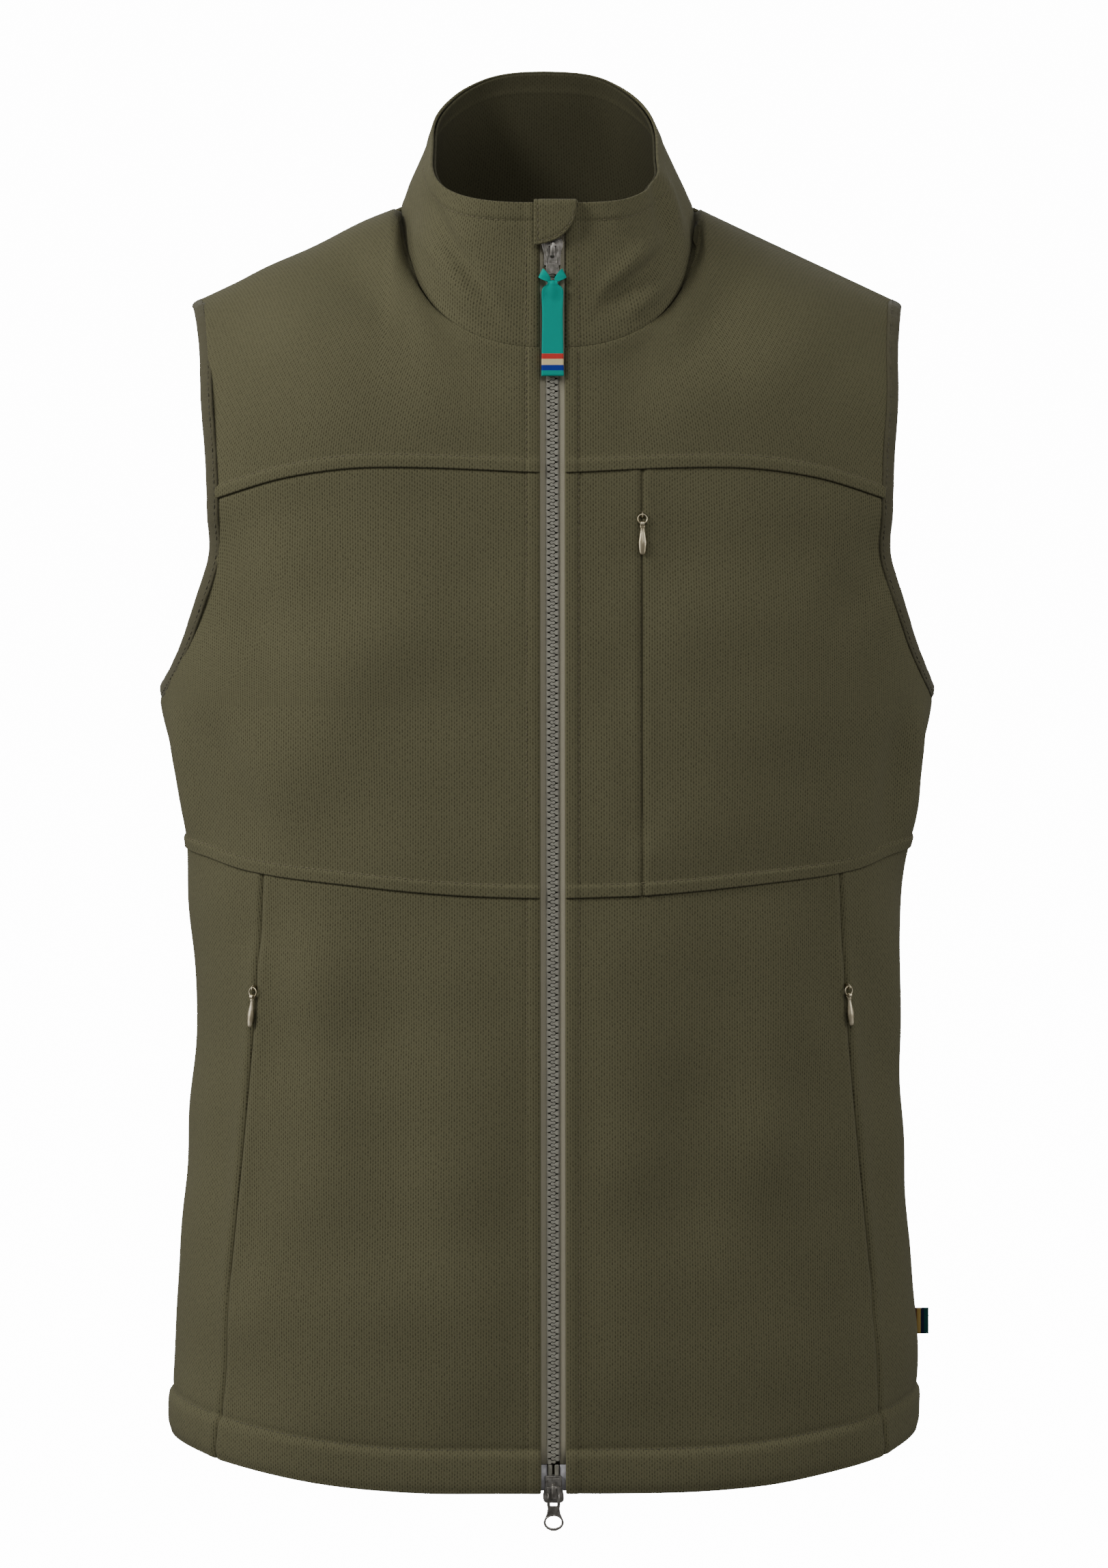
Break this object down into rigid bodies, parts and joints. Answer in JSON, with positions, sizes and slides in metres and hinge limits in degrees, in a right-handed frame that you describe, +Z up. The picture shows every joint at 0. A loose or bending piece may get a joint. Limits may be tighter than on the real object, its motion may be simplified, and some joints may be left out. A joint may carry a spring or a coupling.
{
  "type": "zip-front softshell vest",
  "caption": "Sleeveless stand-collar softshell vest with a two-way front zip, a chest zip pocket, two side zip pockets and a woven zip tab.",
  "frame": {"origin": "middle of the neck at the height of the neck ends of the shoulder seams, which is where a hanger or a wearer carries the vest", "axes": "+Z up, the zip front faces -Y, +X towards the wearer's left; the vest is upright and closed"},
  "size_m": [0.415, 0.2357, 0.7612],
  "materials": {
    "shell_fabric": "matt olive-brown knitted softshell with a fine staggered dash relief",
    "lining_fabric": "the same cloth seen from inside, a shade darker",
    "binding_fabric": "smooth plain stretch binding",
    "zip_tape": "grey-taupe herringbone woven zip tape",
    "zip_teeth": "moulded grey zip teeth, satin",
    "zip_coil": "dark nylon coil",
    "nickel_metal": "die-cast sliders, aged nickel, slightly worn",
    "champagne_metal": "satin champagne plated pulls",
    "woven_ribbon": "teal woven ribbon with narrow stripes at its end"
  },
  "bodies": {
    "vest": {"front_lower_right": "shell_fabric", "side_lower_right": "shell_fabric", "front_lower_left": "shell_fabric", "side_lower_left": "shell_fabric", "chest_panel_right": "shell_fabric", "chest_panel_left_inner": "shell_fabric", "chest_panel_left_outer": "shell_fabric", "back_lower": "shell_fabric", "back_upper": "shell_fabric", "front_yoke_right": "shell_fabric", "front_yoke_left": "shell_fabric", "back_yoke": "shell_fabric", "armhole_binding_right": "binding_fabric", "armhole_binding_left": "binding_fabric", "collar_outer": "shell_fabric", "collar_lining": "lining_fabric", "zip_teeth_right": "zip_teeth", "zip_top_stop_right": "zip_teeth", "zip_insert_pin": "zip_teeth", "zip_tape_right": "zip_tape", "zip_film_right": "zip_tape", "zip_facing_right": "lining_fabric", "zip_teeth_left": "zip_teeth", "zip_top_stop_left": "zip_teeth", "zip_retainer_pin": "zip_teeth", "zip_tape_left": "zip_tape", "zip_film_left": "zip_tape", "zip_facing_left": "lining_fabric", "zip_guard": "lining_fabric", "zip_garage": "shell_fabric", "chest_zip_tape": "zip_tape", "chest_zip_coil": "zip_coil", "chest_pocket_bag": "lining_fabric", "hand_right_zip_tape": "zip_tape", "hand_right_zip_coil": "zip_coil", "hand_right_pocket_bag": "lining_fabric", "hand_left_zip_tape": "zip_tape", "hand_left_zip_coil": "zip_coil", "hand_left_pocket_bag": "lining_fabric", "side_label": "woven_ribbon"},
    "top_slider": {"top_slider": "nickel_metal"},
    "top_puller": {"top_puller": "nickel_metal"},
    "pull_tab": {"pull_tab": "woven_ribbon"},
    "bottom_slider": {"bottom_slider": "nickel_metal"},
    "bottom_puller": {"bottom_puller": "nickel_metal"},
    "chest_slider": {"chest_zip_slider": "champagne_metal"},
    "chest_pull": {"chest_zip_ring": "champagne_metal", "chest_zip_pull": "champagne_metal"},
    "hand_right_slider": {"hand_right_zip_slider": "champagne_metal"},
    "hand_right_pull": {"hand_right_zip_ring": "champagne_metal", "hand_right_zip_pull": "champagne_metal"},
    "hand_left_slider": {"hand_left_zip_slider": "champagne_metal"},
    "hand_left_pull": {"hand_left_zip_ring": "champagne_metal", "hand_left_zip_pull": "champagne_metal"}
  },
  "joints": [
    {"name": "top_slider_travel", "type": "slide", "parent": "vest", "child": "top_slider", "axis": [0, -0.035, -0.9994], "range_m": [0, 0.56]},
    {"name": "top_puller_swing", "type": "hinge", "parent": "top_slider", "child": "top_puller", "pos_m": [0, -0.09625, -0.02554], "axis": [-1, 0, 0], "range_deg": [0, 90]},
    {"name": "pull_tab_swing", "type": "hinge", "parent": "top_puller", "child": "pull_tab", "pos_m": [0, -0.09695, -0.04553], "axis": [-1, 0, 0], "range_deg": [0, 90]},
    {"name": "bottom_slider_travel", "type": "slide", "parent": "vest", "child": "bottom_slider", "axis": [0, -0.035, -0.9994], "range_m": [-0.56, 0]},
    {"name": "bottom_puller_swing", "type": "hinge", "parent": "bottom_slider", "child": "bottom_puller", "pos_m": [0, -0.1186, -0.66414], "axis": [-1, 0, 0], "range_deg": [0, 160]},
    {"name": "chest_slider_travel", "type": "slide", "parent": "vest", "child": "chest_slider", "axis": [0, -0.0331, -0.9995], "range_m": [0, 0.146]},
    {"name": "chest_pull_swing", "type": "hinge", "parent": "chest_slider", "child": "chest_pull", "pos_m": [0.04619, -0.09993, -0.16334], "axis": [-0.9984, -0.0565, 0.0019], "range_deg": [0, 90]},
    {"name": "hand_right_slider_travel", "type": "slide", "parent": "vest", "child": "hand_right_slider", "axis": [-0.0926, 0.0213, -0.9955], "range_m": [0, 0.144]},
    {"name": "hand_right_pull_swing", "type": "hinge", "parent": "hand_right_slider", "child": "hand_right_pull", "pos_m": [-0.15521, -0.07307, -0.40931], "axis": [-0.7872, 0.6107, 0.0863], "range_deg": [0, 90]},
    {"name": "hand_left_slider_travel", "type": "slide", "parent": "vest", "child": "hand_left_slider", "axis": [0.0926, 0.0213, -0.9955], "range_m": [0, 0.144]},
    {"name": "hand_left_pull_swing", "type": "hinge", "parent": "hand_left_slider", "child": "hand_left_pull", "pos_m": [0.15521, -0.07307, -0.40931], "axis": [-0.7872, -0.6107, -0.0863], "range_deg": [0, 90]}
  ]
}
